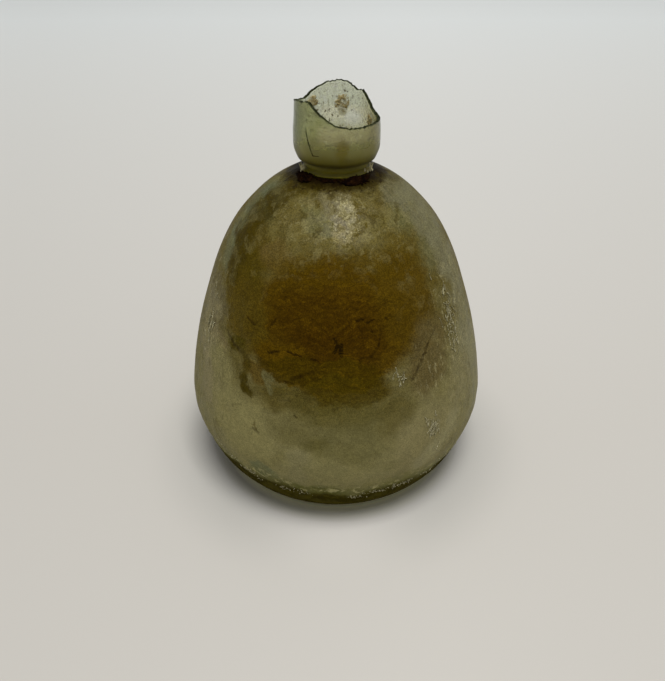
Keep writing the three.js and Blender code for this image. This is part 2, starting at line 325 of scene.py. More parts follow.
def noise_of(place, grain, output="Fac", **settings):
    values = {"Detail": 5, "Roughness": 0.6, "Distortion": 0.0} | settings
    return put(place.id_data, "ShaderNodeTexNoise", {"Vector": place, "Scale": grain, **values}).outputs[output]


def clamped(value):
    return put(value.id_data, "ShaderNodeClamp", {"Value": value}).outputs[0]


def masked(group, place, **values):
    """An effect's result at a place, with its inputs by name"""
    return put(place.id_data, "ShaderNodeGroup", {"Place": place, **values}, node_tree=group).outputs[0]


def faded(mask, strength):
    return sum_of("MULTIPLY", mask, strength)


def both(first, second):
    """Where two masks are both bright"""
    return sum_of("MULTIPLY", first, second)


def rest_of(mask):
    """Where a mask is dark"""
    return put(mask.id_data, "ShaderNodeMath", {0: 1.0, 1: mask}, operation="SUBTRACT").outputs[0]


ragged, given, gives = effect("ragged place", {"Place": (0, 0, 0), "Grain": 130, "Swing": 0.006}, "Place")
swing = moved("SUBTRACT", noise_of(given["Place"], given["Grain"], "Color"), (0.5, 0.5, 0.5))
ragged.links.new(moved("ADD", given["Place"], scaled(swing, given["Swing"])), gives["Place"])

patch, given, gives = effect(
    "patch", {"Place": (0, 0, 0), "Centre": (0, 0, 0), "Reach": (1, 1, 1), "Soft": 0.2}, "Mask"
)
away = moved("DIVIDE", moved("SUBTRACT", given["Place"], given["Centre"]), given["Reach"])
far = moved("LENGTH", away, (0, 0, 0))
patch.links.new(ramp(far, rest_of(given["Soft"]), sum_of("ADD", given["Soft"], 1.0), 1.0, 0.0), gives["Mask"])

stroke, given, gives = effect(
    "stroke", {"Place": (0, 0, 0), "Start": (0, 0, 0), "End": (1, 0, 0), "Width": 0.0004}, "Mask"
)
shallow = (1, 0.2, 1)  # strokes lie on a front that bulges, so how deep a place is counts for little
away = moved("MULTIPLY", moved("SUBTRACT", given["Place"], given["Start"]), shallow)
whole = moved("MULTIPLY", moved("SUBTRACT", given["End"], given["Start"]), shallow)
share = sum_of("DIVIDE", moved("DOT_PRODUCT", away, whole), moved("DOT_PRODUCT", whole, whole))
off = moved("LENGTH", moved("SUBTRACT", away, scaled(whole, clamped(share))), (0, 0, 0))
stroke.links.new(ramp(off, both(given["Width"], 0.3), given["Width"], 1.0, 0.0), gives["Mask"])

mottle, given, gives = effect(
    "mottle", {"Place": (0, 0, 0), "Grain": 90, "Stretch": (1, 1, 1), "Low": 0.35, "High": 0.65}, "Mask"
)
stretched = moved("MULTIPLY", given["Place"], given["Stretch"])
value = noise_of(stretched, given["Grain"], Detail=8, Roughness=0.64, Distortion=0.3)
mottle.links.new(ramp(value, given["Low"], given["High"]), gives["Mask"])

lines, given, gives = effect("hair lines", {"Place": (0, 0, 0), "Grain": 90, "Width": 0.012}, "Mask")
value = noise_of(given["Place"], given["Grain"], Detail=4, Distortion=0.6)
off = sum_of("ABSOLUTE", sum_of("SUBTRACT", value, 0.5), 0)
lines.links.new(ramp(off, 0.0, given["Width"], 1.0, 0.0), gives["Mask"])


# The body's glass is olive under a thin weathered skin. Where soil dried inside, the front is dark brown with
# a ragged lower edge. The shoulder keeps a pale bloom, and both flanks flake in whitish upright streaks.
# Colours are given as they show; a wall that leans out over the table catches less light, so it is painted paler.
catches = [
    (0.0, 0.27), (0.012, 0.46), (0.022, 0.54), (0.034, 0.70), (0.046, 0.76), (0.057, 0.80), (0.068, 0.86),
    (0.078, 0.95), (0.085, 1.05), (0.12, 1.12),
]


def bared(colour, height):
    """The colour that a wall at a height must have itself, to show the colour that is given"""
    for (low, caught_low), (high, caught_high) in zip(catches, catches[1:]):
        if height <= high:
            caught = between(caught_low, caught_high, max(0.0, (height - low) / (high - low)))
            break
    return tuple(min(0.9, value / caught) for value in linear(*colour)[:3]) + (1,)


def painted(colour, mask, seen, strength, at):
    """A colour with another laid over it where a mask is bright, given as it shows at a height"""
    return layered(faded(mask, strength), colour, bared(seen, at))


def in_metres(values):
    return tuple(value * millimetre for value in values)


def patch_on(place, centre, reach, soft):
    """A patch, with its centre and its reach in millimetres"""
    return masked(patch, place, Centre=in_metres(centre), Reach=in_metres(reach), Soft=soft)


def stroke_on(place, start, end, width):
    """A stroke, with its ends and its width in millimetres"""
    return masked(stroke, place, Start=in_metres(start), End=in_metres(end), Width=width * millimetre)


def mottled(place, grain, low, high, stretch=(1, 1, 1)):
    """A mottle, bright where its noise is above a low and a high share, drawn out along the axes"""
    return masked(mottle, place, Grain=grain, Stretch=stretch, Low=low, High=high)


def bumped(shader, height, strength, distance):
    """A shader's surface raised and sunk a little"""
    bump = put(shader.id_data, "ShaderNodeBump", {"Height": height, "Strength": strength, "Distance": distance})
    give(shader, {"Normal": bump.outputs[0]})


millimetre = 0.001
body_glass, tree, shader, place = surface("weathered_glass")
height = part_of(place, "Z")
frayed = masked(ragged, place, Grain=110, Swing=0.009)
frayed = masked(ragged, frayed, Grain=520, Swing=0.0022)
fine = mottled(place, 300, 0.3, 0.7)
broad = mottled(place, 90, 0.3, 0.7, (1, 1, 1.7))
low_glass = layered(broad, bared((96, 91, 57), 0.02), bared((105, 100, 67), 0.02))
high_glass = layered(broad, bared((86, 74, 28), 0.075), bared((102, 93, 50), 0.075))
colour = layered(ramp(height, 0.02, 0.075), low_glass, high_glass)


# Each stain, or painted highlight, sheen, light or shade where marked: its colour as it shows, its strength, where
# it is centred and how far it reaches, both in millimetres, and how soft its edge is
stains_and_painted_light = {
    # Partly painted sheen, partly cleaner glass: the pale greener left edge of the shoulder
    "sheen_and_clean_edge_left": ((90, 97, 66), 0.65, (-17.8, -11.5, 86.7), (3.2, 12, 3.2), 0.4),
    "olive_under_neck": ((74, 64, 14), 0.8, (-8, -15, 90), (6, 8, 1.6), 0.4),
    "red_bits": ((58, 34, 12), 0.75, (0.3, -12.8, 91.4), (1.2, 3, 0.5), 0.4),
    "brown_left_shoulder": ((80, 66, 20), 0.8, (-21.5, -18, 77), (4.8, 12, 6), 0.5),
    "golden_left": ((68, 50, 2), 0.85, (-24.6, -18, 75.5), (2.8, 10, 6), 0.5),
    "olive_left_high": ((74, 62, 10), 0.9, (-24.1, -21.5, 72.7), (6, 13.1, 7), 0.35),
    "bloom_left": ((108, 98, 52), 0.75, (-10, -22.5, 83.8), (7, 11.6, 3.4), 0.35),
    "pink_left": ((104, 87, 44), 0.7, (-14.4, -25.5, 77.8), (5.2, 10.5, 2.8), 0.35),
    # Partly painted highlight, partly pale bloom
    "bloom_and_highlight_right": ((110, 99, 52), 0.75, (10, -21, 84.9), (6.6, 13.1, 4.2), 0.4),
    # Partly painted sheen, partly cleaner glass: the pale greener right edges of the shoulder
    "sheen_and_clean_edge_right_high": ((102, 100, 62), 0.8, (17.7, -12.9, 86), (4.5, 14.6, 3.8), 0.5),
    "sheen_and_clean_edge_right": ((104, 103, 70), 0.6, (25, -15, 78), (3.4, 13.3, 6), 0.5),
    "brown_right": ((86, 71, 20), 0.85, (17.2, -24.3, 77), (5.9, 11.6, 5), 0.4),
    "grey_green_middle": ((108, 104, 64), 0.85, (-4.8, -21.5, 85.7), (4.6, 12, 2.6), 0.25),
    # Partly painted highlight, partly pale bloom: the cream places where the lamp shines off the shoulder
    "highlight_and_bloom_top": ((124, 116, 80), 0.8, (-0.6, -18.5, 88.7), (4, 10, 1.8), 0.3),
    "highlight_and_bloom_high": ((146, 137, 94), 0.85, (3.4, -19.7, 87.5), (2.1, 12, 2.8), 0.15),
    "highlight_and_bloom_low": ((146, 135, 90), 0.85, (1.4, -23.7, 84.2), (3, 10, 1.5), 0.2),
    "olive_gap": ((86, 74, 20), 0.75, (7, -20.5, 86.6), (1.4, 10, 3.8), 0.25),
    "cloudlet_low": ((120, 111, 66), 0.75, (7.9, -23.9, 82.8), (2.3, 8, 1.4), 0.3),
    "cloudlet_high": ((110, 101, 54), 0.65, (10.5, -20.3, 85.3), (2.2, 8, 1.8), 0.35),
    "brown_top": ((80, 63, 8), 0.92, (1, -30.3, 76.4), (20.2, 12, 3.6), 0.3),
    "amber": ((74, 55, 3), 0.96, (-2.6, -35.3, 63.2), (23.2, 16, 16.5), 0.12),
    "amber_right": ((78, 60, 8), 0.9, (17.2, -28.4, 68), (8.6, 13.7, 11), 0.25),
    "olive_left_body": ((78, 64, 14), 0.9, (-23.6, -27.2, 62), (6.2, 13.5, 11), 0.2),
    "deep": ((66, 46, 3), 0.9, (-2.7, -35.4, 65.6), (14.6, 12.5, 7), 0.3),
    "heart": ((60, 40, 2), 0.8, (1, -36.8, 59.5), (12, 11.6, 6), 0.35),
    "gold_low": ((78, 58, 3), 0.75, (-13, -36, 56), (8, 11, 3.4), 0.3),
    "mauve_right": ((86, 74, 42), 0.8, (24.2, -31.6, 52.2), (5.6, 12.6, 10.4), 0.35),
    "under_belt": ((74, 65, 22), 0.8, (-10, -40, 44.8), (14, 11, 3.4), 0.35),
    "under_belt_left": ((86, 77, 38), 0.7, (-19.5, -37, 43), (6, 11, 3.6), 0.4),
    "belt": ((64, 50, 3), 0.9, (-5, -39.1, 52), (16.5, 12.3, 4.2), 0.12),
    "belt_low": ((66, 54, 5), 0.9, (3, -40.5, 47.8), (12, 11, 4.5), 0.2),
    "fringe_left": ((66, 58, 8), 0.85, (-27, -28.5, 54.5), (3.2, 8, 2.2), 0.2),
    "tongue": ((78, 59, 8), 0.75, (-20.8, -35, 49.2), (4, 8, 2.2), 0.35),
    "smudge_left": ((82, 73, 32), 0.75, (-28.8, -29, 47.4), (4.5, 10, 5), 0.5),
    "notch": ((100, 97, 62), 0.75, (-17.4, -37, 48.2), (1.3, 7, 2.2), 0.3),
    "olive_low": ((82, 75, 34), 0.8, (2.4, -42.5, 41), (15.2, 10.8, 4), 0.5),
    "mauve_left": ((96, 88, 58), 0.8, (-32.8, -18.3, 61.5), (3.4, 11, 6.8), 0.3),
    "rose_left": ((106, 94, 62), 0.75, (-32.4, -23, 53), (3.2, 9, 2.4), 0.3),
    # Partly painted sheen, partly whitish weathering: the pale flanks, where the wall turns away from view
    "sheen_and_weathered_flank_left": ((122, 116, 76), 0.8, (-33.5, -24, 43), (6, 15, 10), 0.35),
    "sheen_and_weathered_flank_right": ((116, 110, 76), 0.8, (36.6, -21.5, 41.5), (5.2, 17.4, 18.4), 0.5),
    # Painted light and shade: the heel painted lighter at both sides and darker in the middle
    "painted_light_heel_left": ((118, 112, 72), 0.85, (-26.5, -36.6, 30), (9.8, 14.6, 13), 0.4),
    "painted_light_heel_right": ((110, 103, 70), 0.8, (24.2, -37.7, 28.8), (10.5, 14.2, 11), 0.5),
    "painted_shade_heel_middle": ((90, 85, 50), 0.75, (4, -43, 33), (12, 10.9, 6.5), 0.4),
    "green_low": ((84, 87, 60), 0.85, (-20.5, -39.6, 19), (4.2, 9, 3), 0.3),
    "heel_front": ((104, 99, 64), 0.8, (-4.2, -44.9, 22.5), (9, 8.9, 5), 0.4),
    "olive_low_right": ((84, 76, 38), 0.75, (16, -39.4, 40.5), (5, 9, 6), 0.5),
    # Painted shade: the greenish darkening where the foot turns under
    "painted_shade_foot_front": ((60, 61, 26), 0.85, (-5.2, -42.5, 14.8), (9, 8, 2.4), 0.45),
    "pale_low": ((106, 101, 70), 0.7, (-10, -43.6, 25.5), (2.2, 8, 7), 0.5),
    "dark_low": ((76, 70, 30), 0.55, (-6.2, -43.8, 32), (3.2, 8, 2), 0.6),
    "brown_low_left": ((92, 86, 50), 0.7, (-11, -42, 34.5), (6, 8, 3.6), 0.5),
}
for seen, strength, centre, reach, soft in stains_and_painted_light.values():
    mask = patch_on(frayed, centre, reach, soft)
    colour = painted(colour, mask, seen, strength, at=centre[2] * millimetre)

# Bands that run along the skin: both edges of the shoulder and the flanks are paler and greener, partly as painted
# sheen where the wall turns away and partly as cleaner glass, a dark olive band runs down beside the left one, and
# a thin dark trickle hooks down from the soil. Each has its colour, its strength, its width and the places that it
# runs through, in millimetres.
bands = [
    # Painted sheen, partly cleaner glass: the pale greener left edge of the shoulder
    ((106, 109, 78), 0.6, 2.4, [
        (-13.9, -7.9, 90.3), (-19, -8.9, 86.8), (-23.7, -9.2, 82.5), (-27.5, -12, 77), (-30.5, -15.1, 70.5),
    ]),
    ((64, 53, 4), 0.8, 3, [
        (-11.8, -12.3, 89.7), (-16.8, -13.8, 86.1), (-21, -14.6, 82.4), (-24.9, -15, 78), (-26.2, -20, 71.2),
    ]),
    # Painted sheen, partly cleaner glass: the pale bands down the right and left edges and flanks
    ((120, 116, 86), 0.75, 3.6, [
        (14, -8, 90.2), (18.8, -9.2, 87.2), (23.2, -10.3, 83.1), (26.8, -12.9, 78.2), (30.2, -15.5, 71.2),
        (33.5, -16.5, 63.6), (38, -18.4, 48.9),
    ]),
    ((124, 120, 90), 0.75, 4, [(38, -18.4, 48.9), (42, -16.5, 35), (42, -20, 25)]),
    ((124, 116, 84), 0.75, 3.6, [(-34, -17, 60), (-36.8, -21, 45), (-37.2, -23, 34)]),
    ((120, 115, 83), 0.7, 4, [(33, -29, 30), (29, -34.5, 25.5), (22.5, -38.5, 20.5)]),
    ((112, 107, 73), 0.7, 4.5, [(-38, -25, 29), (-31, -30, 20)]),
    ((64, 54, 9), 0.65, 1.3, [
        (-27.2, -28.3, 53.7), (-24, -31.8, 52.1), (-22.8, -33.4, 50.3), (-24.3, -33.3, 47),
    ]),
    ((58, 49, 5), 0.85, 1.8, [(-24.3, -33.3, 46.5), (-23.9, -34.3, 44.5), (-23.1, -35.4, 43.2)]),
    ((66, 54, 18), 0.6, 0.4, [(-21.8, -38, 35), (-21.6, -38.5, 32.8)]),
]
for seen, strength, width, run in bands:
    for start, end in zip(run, run[1:]):
        mask = stroke_on(frayed, start, end, width)
        colour = painted(colour, mask, seen, strength, at=start[2] * millimetre)

# Dark marks where the soil cracked, one long scratch on the right, and its dark lower edge: each runs from
# a place to a place, so many millimetres wide and so dark
marks = [
    ((25.4, -28.2, 58), (23.7, -30.6, 55.6), 0.5, 0.4),
    ((23.7, -30.6, 55.6), (22.7, -32.2, 53.5), 0.6, 0.5),
    ((22.7, -32.2, 53.5), (21.1, -34.4, 50.3), 0.6, 0.5),
    ((21.1, -34.4, 50.3), (19.9, -35.8, 48.2), 0.7, 0.45),
    ((-23.1, -28.3, 62.4), (-21.2, -30.2, 61.4), 0.5, 0.75),
    ((-15.2, -32.5, 64.4), (-17.4, -32.5, 61.4), 0.4, 0.75),
    ((-17.5, -34.5, 55.7), (-14.9, -35.4, 56.6), 0.5, 0.85),
    ((-12.3, -36.3, 57), (-8.7, -37.5, 56.3), 0.5, 0.85),
    ((-6.5, -38, 56), (-4.7, -38.4, 55.7), 0.4, 0.85),
    ((-0.7, -36.9, 61.3), (0.3, -37.5, 59.6), 0.6, 1),
    ((0.3, -37.5, 59.6), (-0.7, -38, 57.9), 0.6, 1),
    ((1, -37.4, 59.8), (1, -38.2, 57.3), 0.8, 1),
    ((4.7, -35.3, 65.3), (6.4, -34.9, 65.6), 0.4, 0.95),
    ((7.4, -35, 64.8), (9.2, -34.4, 65.3), 0.4, 0.95),
    ((5.4, -35.6, 64), (6.5, -36, 62.2), 0.3, 0.6),
    ((8.7, -35.3, 62.9), (9, -35.6, 61.9), 0.3, 0.8),
    ((12.2, -33.4, 65.3), (12.5, -33.6, 64.5), 0.3, 0.7),
    ((11, -35, 61.9), (10.5, -36.2, 59), 0.5, 0.45),
    ((10.5, -36.2, 59), (8.8, -37.4, 56.5), 0.6, 0.5),
    ((8.8, -37.4, 56.5), (5.8, -38.2, 55.9), 0.6, 0.5),
    ((5.8, -38.2, 55.9), (6.1, -38.9, 53.6), 0.4, 0.4),
    ((-9.6, -34, 65.9), (-9.1, -34.5, 64.8), 0.3, 0.6),
    ((-3.7, -32.9, 71.2), (-3.2, -33.3, 70.4), 0.3, 0.6),
    ((-28.9, -25.6, 56), (-27.7, -27.6, 54.5), 0.8, 0.5),
    ((-27.7, -27.6, 54.5), (-25.4, -30.3, 53.1), 0.6, 0.45),
    ((-13.2, -38.5, 49.2), (-11.4, -39, 49.3), 0.5, 0.6),
    ((-11.4, -38.7, 50.3), (-9.3, -38.9, 51.4), 0.8, 0.55),
    ((-9.3, -38.9, 51.4), (-6, -39.2, 52.8), 0.8, 0.55),
    ((-22.5, -37.8, 33.4), (-20.9, -38.9, 32.6), 0.6, 0.4),
    ((-11.1, -41.3, 40.5), (-10.3, -41.6, 40.1), 0.4, 0.6),
    ((-28.5, -32.7, 37.2), (-25.7, -34.5, 39), 0.4, 0.3),
]
shaken = masked(ragged, place, Grain=1100, Swing=0.0016)
for start, end, width, strength in marks:
    mask = stroke_on(shaken, start, end, width)
    colour = painted(colour, mask, (28, 17, 1), strength, at=start[2] * millimetre)

# Inside the brown, hair cracks and fine streaks lie across, and down both flanks coarser ones run upright
soil_level = 0.06
flank_level = 0.045
flank_edges = 0.025, 0.036
soiled = patch_on(frayed, (-3, -36, 60), (26, 20, 19), 0.4)
hair = both(masked(lines, place, Grain=120, Width=0.006), soiled)
colour = painted(colour, hair, (40, 26, 4), 0.5, at=soil_level)
sideways = moved("MULTIPLY", frayed, (0.3, 0.3, 1.6))
for low, high, seen, strength in ((0.50, 0.58, (38, 23, 1), 0.36), (0.38, 0.46, (102, 77, 8), 0.26)):
    streak = both(mottled(sideways, 900, low, high), soiled)
    if low < 0.5:
        streak = sum_of("SUBTRACT", soiled, streak)
    colour = painted(colour, streak, seen, strength, at=soil_level)
flank = ramp(sum_of("ABSOLUTE", part_of(frayed, "X"), 0), *flank_edges)
for grain, seen, strength in ((430, (74, 66, 34), 0.45), (560, (136, 128, 92), 0.45)):
    streak = both(mottled(frayed, grain, 0.52, 0.64, (1.2, 1.2, 0.22)), flank)
    colour = painted(colour, streak, seen, strength, at=flank_level)

# Whitish streaks and flecks where the skin of the glass flakes off: where, how far, in millimetres, how many
flaking = [
    ((31.2, -20, 58), (6, 16, 20), 0.6),
    ((22.5, -33, 51), (6, 14, 8), 0.22),
    ((29, -33, 35), (12, 14, 16), 0.25),
    ((-34, -15, 60), (6, 16, 18), 0.55),
    ((1, -21, 85), (17, 14, 6), 0.35),
]
for centre, reach, strength in flaking:
    mask = both(patch_on(frayed, centre, reach, 0.5), mottled(place, 190, 0.42, 0.58, (1, 1, 0.5)))
    mask = both(mask, mottled(shaken, 1200, 0.54, 0.62, (1, 1, 0.16)))
    colour = painted(colour, mask, (156, 148, 108), strength, at=centre[2] * millimetre)

# Fine cracks and pits all over the skin, darker in the brown and paler on the shoulder, and a painted highlight in
# the middle of the shoulder, partly pale bloom, that is speckled in three sizes
bloom_level = 0.085
lit_level = 0.086
crackle = both(masked(lines, frayed, Grain=330, Width=0.010), mottled(place, 140, 0.42, 0.6))
wisps = both(mottled(frayed, 210, 0.53, 0.68, (1, 1, 0.8)), rest_of(soiled))
shoulder = patch_on(frayed, (2, -19, 85), (22, 16, 8.5), 0.5)
# Partly painted highlight, partly pale bloom, where the lamp shines off the shoulder
lit = patch_on(frayed, (2.5, -20.5, 86.7), (3.4, 12, 4), 0.2)
for mask, seen, strength, level in (
    (crackle, (36, 26, 5), 0.34, soil_level),
    (mottled(place, 1500, 0.60, 0.66), (40, 30, 6), 0.5, soil_level),
    (wisps, (126, 118, 76), 0.28, 0.05),
    (both(shoulder, mottled(frayed, 360, 0.54, 0.60)), (142, 133, 86), 0.42, bloom_level),
    (both(shoulder, mottled(frayed, 240, 0.52, 0.62)), (72, 60, 12), 0.60, bloom_level),
    (both(lit, mottled(place, 620, 0.55, 0.62)), (176, 167, 124), 0.7, lit_level),
    (both(lit, mottled(place, 1100, 0.55, 0.62)), (84, 76, 38), 0.6, lit_level),
    (both(lit, mottled(place, 2000, 0.55, 0.62)), (186, 178, 136), 0.6, lit_level),
):
    colour = painted(colour, mask, seen, strength, at=level)

# Dark adhesive has soaked into the skin round the root of the neck, up to the collar; the shelf right under the
# collar is darkest, partly adhesive and partly painted shade under the collar
fringe = 0.0884, 0.0912
stain_edge = 0.0903, 0.0912
speck_edge = 0.0894, 0.0908
shelf_edge = 0.0912, 0.0919
ragged_height = part_of(frayed, "Z")
root_height = part_of(shaken, "Z")
root_stain = ramp(root_height, *stain_edge)
specks = both(ramp(root_height, *speck_edge), mottled(shaken, 520, 0.53, 0.58))
soaked_and_shaded = both(ramp(root_height, *shelf_edge), mottled(frayed, 230, 0.38, 0.50))
colour = painted(colour, ramp(ragged_height, *fringe), (60, 50, 6), 0.6, at=0.09)
colour = painted(colour, root_stain, (38, 29, 1), 0.85, at=0.091)
colour = painted(colour, specks, (30, 18, 2), 0.75, at=0.091)
# Partly adhesive, partly painted shade on the shelf under the collar
colour = painted(colour, soaked_and_shaded, (22, 11, 2), 0.85, at=0.092)

# Painted shade darkens the foot where the wall turns under, higher up at the sides, and a line of pale dust clings
# above
dust_from = 0.0122, 0.0132
dust_to = 0.0145, 0.0168
foot_shade = 0.0115, 0.0185
foot_dark = 0.0102, 0.0138
across = part_of(place, "X")
side_rise = ramp(sum_of("ABSOLUTE", across, 0), 0.006, 0.018, 0.0008, 0.0028)
foot = sum_of("SUBTRACT", ragged_height, side_rise)
foot = sum_of("ADD", foot, ramp(across, 0.014, 0.028, 0.0, 0.0014))
dust = both(ramp(foot, *dust_from), ramp(foot, *dust_to, 1.0, 0.0))
dust = both(dust, mottled(place, 420, 0.50, 0.62))
# Painted shade: a greenish darkening above where the wall turns under
colour = painted(colour, ramp(foot, *foot_shade, 1.0, 0.0), (66, 66, 28), 0.75, at=0.014)
colour = painted(colour, dust, (140, 134, 94), 0.55, at=0.013)
# Painted shade: the dark band where the wall turns under, weaker towards the back
backward = ramp(part_of(place, "Y"), -0.010, 0.020, 1.0, 0.6)
under = both(ramp(foot, *foot_dark, 1.0, 0.0), backward)
uneven = mottled(frayed, 260, 0.4, 0.6)
colour = layered(under, colour, layered(uneven, bared((27, 23, 0), 0.006), bared((42, 38, 6), 0.008)))

# All of it is a little uneven in brightness, most of all high up, and the skin swells and dips
calmer = ramp(height, 0.034, 0.052, 0.6, 1.0)
shade = ramp(fine, 0.3, 0.7, 0.94, 1.06)
for grit, most in ((noise_of(place, 1500), 0.20), (noise_of(place, 4000, Detail=2), 0.34)):
    swing = both(ramp(grit, 0.3, 0.7, -most, most), calmer)
    shade = both(shade, sum_of("ADD", swing, 1.0))
colour = moved("MULTIPLY", colour, grey(shade))
rough = sum_of("ADD", ramp(fine, 0.0, 1.0, 0.40, 0.60), faded(under, 0.4))
glossy = both(patch_on(frayed, (1, -21, 86), (16, 14, 8), 0.6), mottled(frayed, 420, 0.42, 0.58))
glossy = both(glossy, rest_of(root_stain))
give(shader, {
    "Base Color": colour, "Roughness": rough, "Specular IOR Level": 0.02, "Specular Tint": (1, 0.85, 0.4, 1),
    "Transmission Weight": 0.05, "Coat Weight": faded(glossy, 0.22), "Coat Roughness": 0.32,
})
swell = sum_of("ADD", noise_of(place, 900), faded(noise_of(place, 130), 4.0))
bumped(shader, swell, strength=0.5, distance=0.0002)
body = shell("blown_body", turned(body_line, body_turns, closed=False), body_glass)
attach(body, "root")
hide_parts("base_floor", "body_wall", "shoulder")


# The cup was blown and tooled with the neck, as one thin clear wall, and its rim broke off unevenly.
# The ring round its neck was pressed in with the jacks, and stands on the shoulder.
collar_foot = 0.0928
cup_foot = 0.095
cup_height = 0.0176
cup_radius = 0.0114
cup_wall = 0.0013
rim_wall = 0.0009
ring_swell = 0.0005
skirt_clearance = 0.0001
even_share = 0.43
collar_shares = [(1.6, 0), (1.2, 0.16), (0.5, 0.36), (0.9, 0.54), (1, 0.66), (0.5, 0.82), (0.6, 1)]
cup_shares = [(0.1, 0), (0.6, 0.03), (0.75, 0.08), (0.95, 0.17), (1, 0.28), (1, 0.43), (0.89, 0.65), (0.8, 1)]
rim_shares = [
    (0, 0.63), (0.06, 0.6), (0.29, 0.595), (0.325, 0.64), (0.35, 0.74), (0.385, 0.885), (0.413, 0.88),
    (0.45, 0.972), (0.485, 1), (0.54, 0.972), (0.6, 0.88), (0.65, 0.79), (0.69, 0.8), (0.75, 0.85),
    (0.86, 0.92), (0.887, 0.925), (0.93, 0.79), (0.965, 0.7), (1, 0.63),
]
rim_chips = [(0.0005, 9), (0.0002, 31)]
outer_lip_drop = 0.00018
inner_lip_drop = 0.00012
cup_levels = 28
cup_turns = 288

cup_points = [
    Vector((between(collar_radius, cup_radius, out), cup_foot + cup_height * up)) for out, up in cup_shares
]
cup_skin = smooth_line(cup_points, steps_between_points)
for point in cup_skin:
    point.x = min(point.x, cup_radius)


def radius_at(line, height):
    """The radius of a line that climbs, at a height"""
    for low, high in zip(line, line[1:]):
        if low.y <= height <= high.y:
            return between(low.x, high.x, (height - low.y) / max(high.y - low.y, 1e-9))
    return line[-1].x if height > line[-1].y else line[0].x


def rim_at(turn):
    """The height of the broken rim at a share of a turn, a little jagged between the corners"""
    for (before, low), (after, high) in zip(rim_shares, rim_shares[1:]):
        if before <= turn <= after:
            share = between(low, high, (turn - before) / (after - before))
            break
    where = Vector((math.sin(math.tau * turn), math.cos(math.tau * turn), 0))
    chipped = sum(deep * abs(noise.noise(where * fine)) for deep, fine in rim_chips)
    return cup_foot + cup_height * share - chipped


def round_axis(radius, angle, height):
    """A place at an angle round the Z axis, measured from the front"""
    return Vector((radius * math.sin(angle), -radius * math.cos(angle), height))


def turn_of(place):
    """The share of a turn round the Z axis that a place is at, from the front"""
    return (math.atan2(place.y, place.x) / math.tau + 0.25) % 1


def cup_section(turn):
    """The cup's and the collar's outline at a share of a turn, up the outside and down the inside. The lip
    slants outwards in front and inwards at the back."""
    top = rim_at(turn)
    facing = max(0.0, math.cos(math.tau * turn))
    lips = top - outer_lip_drop * facing, top - inner_lip_drop * (1 - facing)
    even = cup_foot + cup_height * even_share
    outside, inside = [], []
    for i in range(cup_levels + 1):
        share = i / cup_levels
        for side, lip in zip((outside, inside), lips):
            if share <= even_share:
                level = cup_foot + cup_height * share
            else:
                level = between(even, lip, (share - even_share) / (1 - even_share))
            wall = 0 if side is outside else between(cup_wall, rim_wall, share)
            reach = radius_at(cup_skin, level) - wall
            side.append(Vector((max(reach, bore_radius), level)))
    skirt_foot = body_height + skirt_clearance
    collar = [
        Vector((collar_radius + ring_swell * out, between(skirt_foot, cup_foot, up))) for out, up in collar_shares
    ]
    under = [
        Vector((bore_radius, collar_foot)),
        Vector((collar_radius, collar_foot)),
        Vector((collar_radius + skirt_clearance, skirt_foot)),
    ]
    return [*under, *smooth_line(collar, 3)[:-1], *outside, *reversed(inside)]


section = cup_section(0)
rim_rows = len(section) - cup_levels - 2
bm = bmesh.new()
spun(bm, [Vector((1, row)) for row in range(len(section))], cup_turns, closed=True)
bmesh.ops.remove_doubles(bm, verts=bm.verts, dist=merge_distance)
for face in bm.faces:
    levels = sorted(vert.co.z for vert in face.verts)
    if levels[0] > rim_rows - 0.5 and levels[-1] < rim_rows + 1.5:
        face.material_index = 1
sections = {}
for vert in bm.verts:
    step = round(turn_of(vert.co) * cup_turns) % cup_turns
    if step not in sections:
        sections[step] = cup_section(step / cup_turns)
    point = sections[step][round(vert.co.z)]
    vert.co = round_axis(point.x, math.tau * step / cup_turns, point.y)
outward(bm)
for edge in bm.edges:
    edge.smooth = len({face.material_index for face in edge.link_faces}) == 1

# The crack in the front of the cup is a thin dark line, a ribbon as narrow as a hair, narrower at its ends. It
# runs through these places, each a share of a turn and a height.
crack = [
    (-0.1200, 0.1050), (-0.1178, 0.1038), (-0.1089, 0.1020), (-0.1005, 0.1003), (-0.0892, 0.0985),
    (-0.0652, 0.0986),
]
crack_width = 0.0003
crack_tip = 0.35
crack_lift = 0.00003
last = len(crack) - 1
ribbon = bmesh.ops.create_grid(bm, x_segments=last, y_segments=1, size=1)["verts"]
for vert in ribbon:
    i, side = round((vert.co.x + 1) / 2 * last), round(vert.co.y)
    (turn, level), (turn_a, level_a), (turn_b, level_b) = crack[i], crack[max(i - 1, 0)], crack[min(i + 1, last)]
    reach = radius_at(cup_skin, level) + crack_lift
    way = Vector(((turn_b - turn_a) * math.tau * reach, level_b - level_a)).normalized()
    aside = side * crack_width / 2 * (crack_tip if i in (0, last) else 1)
    vert.co = round_axis(reach, math.tau * turn - way.y * aside / reach, level + way.x * aside)
for face in {face for vert in ribbon for face in vert.link_faces}:
    face.material_index = 1



def coated(colour, coats):
    """A colour with others laid over it one after another, each where its mask is bright"""
    for mask, over in coats:
        colour = layered(mask, colour, (*over, 1))
    return colour


